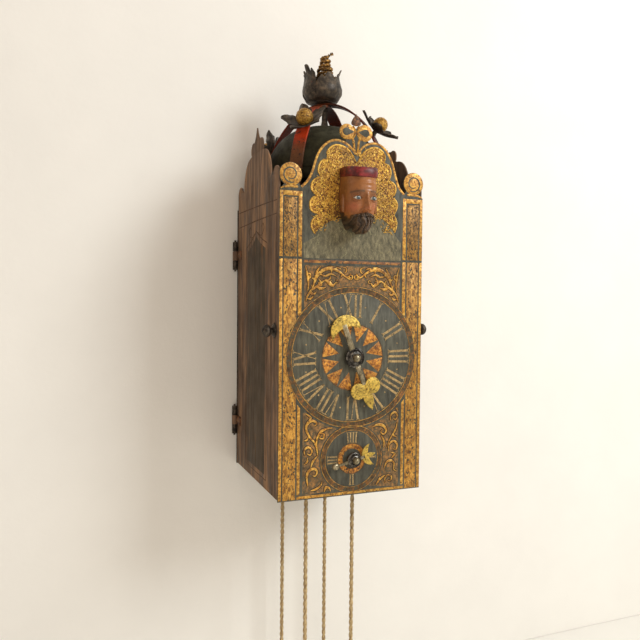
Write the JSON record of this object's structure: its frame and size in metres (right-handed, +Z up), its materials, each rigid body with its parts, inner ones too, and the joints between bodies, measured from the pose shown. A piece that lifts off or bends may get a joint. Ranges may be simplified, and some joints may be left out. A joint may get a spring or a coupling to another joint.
{
  "type": "automaton wall clock",
  "caption": "Wall clock with a painted iron case, a carved head with moving eyes and jaw, hinged side doors, rope-driven wheel trains and a bell under crossed straps with a tulip on top.",
  "frame": {"origin": "middle of the case's back plate on its rear face, where it lies against the wall", "axes": "+Z up, +Y out of the back into the wall, so the dial faces -Y and +X is the viewer's right"},
  "size_m": [0.1836, 0.2094, 0.7519],
  "materials": {
    "front_paint": "worn gilt and grey-green paint on iron sheet",
    "door_paint": "dark brown paint on iron sheet, rubbed",
    "dark_iron": "blackened wrought iron",
    "worn_iron": "filed wrought iron, worn bright",
    "strap_paint": "faded red paint on iron strap",
    "bell_metal": "olive-black patina, satin",
    "brass": "dull brass",
    "gilt": "worn gilding on iron sheet",
    "carved_wood": "painted limewood",
    "beard_paint": "dark painted wood",
    "eye_paint": "varnished painted wood",
    "rope": "laid hemp"
  },
  "bodies": {
    "case": {"front_plate": "front_paint", "back_plate": "dark_iron", "top_plate": "dark_iron", "bottom_plate": "dark_iron", "front_left_post": "dark_iron", "front_right_post": "dark_iron", "rear_left_post": "dark_iron", "rear_right_post": "dark_iron", "left_upper_hinge": "dark_iron", "left_lower_hinge": "dark_iron", "right_upper_hinge": "dark_iron", "right_lower_hinge": "dark_iron", "bell_bolt": "dark_iron", "front_left_flower": "dark_iron", "front_right_flower": "dark_iron", "rear_left_flower": "dark_iron", "rear_right_flower": "dark_iron", "finial_tulip": "dark_iron", "going_weight_hook": "dark_iron", "strike_weight_hook": "dark_iron", "front_bar": "worn_iron", "middle_bar": "worn_iron", "rear_bar": "worn_iron", "finial_spiral": "brass", "left_front_strap": "strap_paint", "right_front_strap": "strap_paint", "bell": "bell_metal", "head": "carved_wood", "going_rope_over_pulley": "rope", "going_rope_left": "rope", "going_rope_right": "rope", "strike_rope_over_pulley": "rope", "strike_rope_left": "rope", "strike_rope_right": "rope"},
    "left_door": {"left_door": "door_paint"},
    "right_door": {"right_door": "door_paint"},
    "left_knob": {"left_door_knob": "dark_iron"},
    "right_knob": {"right_door_knob": "dark_iron"},
    "going_great": {"going_great_wheel": "brass", "quarter_hand": "gilt"},
    "going_drum": {"going_pulley": "worn_iron"},
    "change": {"change_wheel": "worn_iron"},
    "hour": {"hour_wheel": "worn_iron", "hour_hand": "gilt"},
    "second": {"second_wheel": "brass"},
    "crown": {"crown_wheel": "brass"},
    "verge": {"verge_foliot": "worn_iron"},
    "left_eye": {"left_eye": "eye_paint"},
    "right_eye": {"right_eye": "eye_paint"},
    "eye_link": {"eye_link": "worn_iron"},
    "strike_great": {"strike_great_wheel": "brass"},
    "strike_drum": {"strike_pulley": "worn_iron"},
    "hoop": {"hoop_wheel": "brass"},
    "fly": {"strike_fly": "worn_iron"},
    "count": {"count_wheel": "worn_iron"},
    "hammer": {"hammer": "dark_iron"},
    "jaw": {"jaw": "beard_paint"},
    "detent": {"strike_detent": "worn_iron"}
  },
  "joints": [
    {"name": "left_door_swing", "type": "hinge", "parent": "case", "child": "left_door", "pos_m": [-0.0835, -0.004, 0], "axis": [0, 0, -1], "range_deg": [0, 85]},
    {"name": "right_door_swing", "type": "hinge", "parent": "case", "child": "right_door", "pos_m": [0.0835, -0.004, 0], "axis": [0, 0, 1], "range_deg": [0, 85]},
    {"name": "left_knob_turn", "type": "hinge", "parent": "left_door", "child": "left_knob", "pos_m": [-0.08, -0.157, 0.0156], "axis": [-1, 0, 0], "range_deg": [0, 90]},
    {"name": "right_knob_turn", "type": "hinge", "parent": "right_door", "child": "right_knob", "pos_m": [0.08, -0.157, 0.0156], "axis": [-1, 0, 0], "range_deg": [0, 90]},
    {"name": "going_drive", "type": "hinge", "parent": "case", "child": "going_great", "pos_m": [0, -0.12, -0.117], "axis": [0, 1, 0], "continuous": true},
    {"name": "change_turn", "type": "hinge", "parent": "case", "child": "change", "pos_m": [0, -0.158, -0.07033], "axis": [0, 1, 0], "continuous": true},
    {"name": "hour_turn", "type": "hinge", "parent": "case", "child": "hour", "pos_m": [0, -0.158, -0.012], "axis": [0, 1, 0], "continuous": true},
    {"name": "second_turn", "type": "hinge", "parent": "case", "child": "second", "pos_m": [0, -0.115, -0.082], "axis": [0, 1, 0], "continuous": true},
    {"name": "crown_turn", "type": "hinge", "parent": "case", "child": "crown", "pos_m": [0, -0.095, -0.047], "axis": [0, 1, 0], "continuous": true},
    {"name": "going_wind", "type": "hinge", "parent": "going_great", "child": "going_drum", "pos_m": [0, -0.11, -0.117], "axis": [0, 1, 0], "continuous": true},
    {"name": "verge_swing", "type": "hinge", "parent": "case", "child": "verge", "pos_m": [0, -0.112, -0.045], "axis": [0, 0, 1], "range_deg": [-20, 20]},
    {"name": "left_eye_turn", "type": "hinge", "parent": "case", "child": "left_eye", "pos_m": [-0.0084, -0.195, 0.147], "axis": [0, 0, 1], "range_deg": [-17, 17]},
    {"name": "right_eye_turn", "type": "hinge", "parent": "case", "child": "right_eye", "pos_m": [0.0084, -0.195, 0.147], "axis": [0, 0, 1], "range_deg": [-17, 17]},
    {"name": "eye_link_slide", "type": "slide", "parent": "case", "child": "eye_link", "axis": [1, 0, 0], "range_m": [-0.0029, 0.0029]},
    {"name": "strike_drive", "type": "hinge", "parent": "case", "child": "strike_great", "pos_m": [0, -0.05, -0.117], "axis": [0, 1, 0], "continuous": true},
    {"name": "hoop_turn", "type": "hinge", "parent": "case", "child": "hoop", "pos_m": [0, -0.05, -0.082], "axis": [0, 1, 0], "continuous": true},
    {"name": "fly_turn", "type": "hinge", "parent": "case", "child": "fly", "pos_m": [0, -0.05, -0.047], "axis": [0, 1, 0], "continuous": true},
    {"name": "count_turn", "type": "hinge", "parent": "case", "child": "count", "pos_m": [-0.035, -0.014, -0.117], "axis": [0, 1, 0], "continuous": true},
    {"name": "strike_wind", "type": "hinge", "parent": "strike_great", "child": "strike_drum", "pos_m": [0, -0.026, -0.117], "axis": [0, 1, 0], "continuous": true},
    {"name": "hammer_swing", "type": "hinge", "parent": "case", "child": "hammer", "pos_m": [0.04, -0.06, -0.035], "axis": [0, -1, 0], "range_deg": [0, 8]},
    {"name": "jaw_open", "type": "hinge", "parent": "case", "child": "jaw", "pos_m": [0, -0.182, 0.134], "axis": [1, 0, 0], "range_deg": [0, 12]},
    {"name": "detent_lift", "type": "hinge", "parent": "case", "child": "detent", "pos_m": [-0.046, -0.05, -0.065], "axis": [0, -1, 0], "range_deg": [0, 8]}
  ],
  "couplings": [
    {"joint": "change_turn", "follows": "going_drive", "ratio": -0.33333},
    {"joint": "hour_turn", "follows": "going_drive", "ratio": 0.083333},
    {"joint": "second_turn", "follows": "going_drive", "ratio": -6},
    {"joint": "crown_turn", "follows": "going_drive", "ratio": 36},
    {"joint": "left_eye_turn", "follows": "verge_swing", "ratio": 0.8},
    {"joint": "right_eye_turn", "follows": "verge_swing", "ratio": 0.8},
    {"joint": "eye_link_slide", "follows": "verge_swing", "m_per_rad": -0.0076},
    {"joint": "hoop_turn", "follows": "strike_drive", "ratio": -6.5},
    {"joint": "fly_turn", "follows": "strike_drive", "ratio": 39},
    {"joint": "count_turn", "follows": "strike_drive", "ratio": -0.16667},
    {"joint": "jaw_open", "follows": "hammer_swing", "ratio": 1.5}
  ]
}
